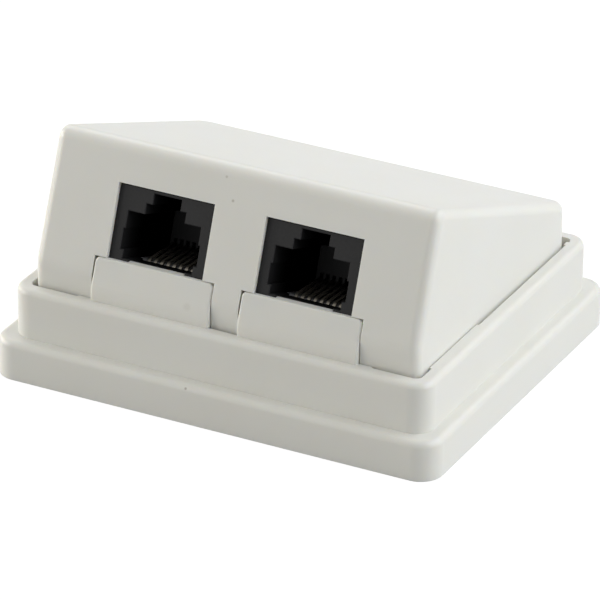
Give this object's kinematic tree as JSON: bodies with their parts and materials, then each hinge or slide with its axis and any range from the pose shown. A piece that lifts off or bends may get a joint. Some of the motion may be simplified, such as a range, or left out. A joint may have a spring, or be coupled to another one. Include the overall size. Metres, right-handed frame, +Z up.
{
  "type": "surface mount jack box",
  "caption": "Surface mount box with sloping lift-off cover on a screw-down base, holding modular sockets on a tilted circuit board with punch-down blocks.",
  "frame": {"origin": "middle of the base's underside", "axes": "+X to the right seen from the front, +Y from the sockets to the back, +Z up off the mounting surface"},
  "size_m": [0.072, 0.06, 0.0365],
  "materials": {
    "moulding": "satin moulded",
    "circuit_board": "solder mask",
    "jack_housing": "semi-gloss moulded",
    "contact_carrier": "moulded",
    "contacts": "gold-plated",
    "idc_block": "moulded",
    "idc_blades": "tin-plated",
    "idc_cap": "moulded"
  },
  "bodies": {
    "base": {"base": "moulding", "circuit_board": "circuit_board", "left_jack_housing": "jack_housing", "left_contact_carrier": "contact_carrier", "left_contacts": "contacts", "left_port_left_idc_block": "idc_block", "left_port_left_idc_blades": "idc_blades", "left_port_left_idc_cap": "idc_cap", "left_port_right_idc_block": "idc_block", "left_port_right_idc_blades": "idc_blades", "left_port_right_idc_cap": "idc_cap", "right_jack_housing": "jack_housing", "right_contact_carrier": "contact_carrier", "right_contacts": "contacts", "right_port_left_idc_block": "idc_block", "right_port_left_idc_blades": "idc_blades", "right_port_left_idc_cap": "idc_cap", "right_port_right_idc_block": "idc_block", "right_port_right_idc_blades": "idc_blades", "right_port_right_idc_cap": "idc_cap"},
    "cover": {"cover": "moulding"}
  },
  "joints": [
    {"name": "cover_lift", "type": "slide", "parent": "base", "child": "cover", "axis": [0, 0, 1], "range_m": [0, 0.03]}
  ]
}
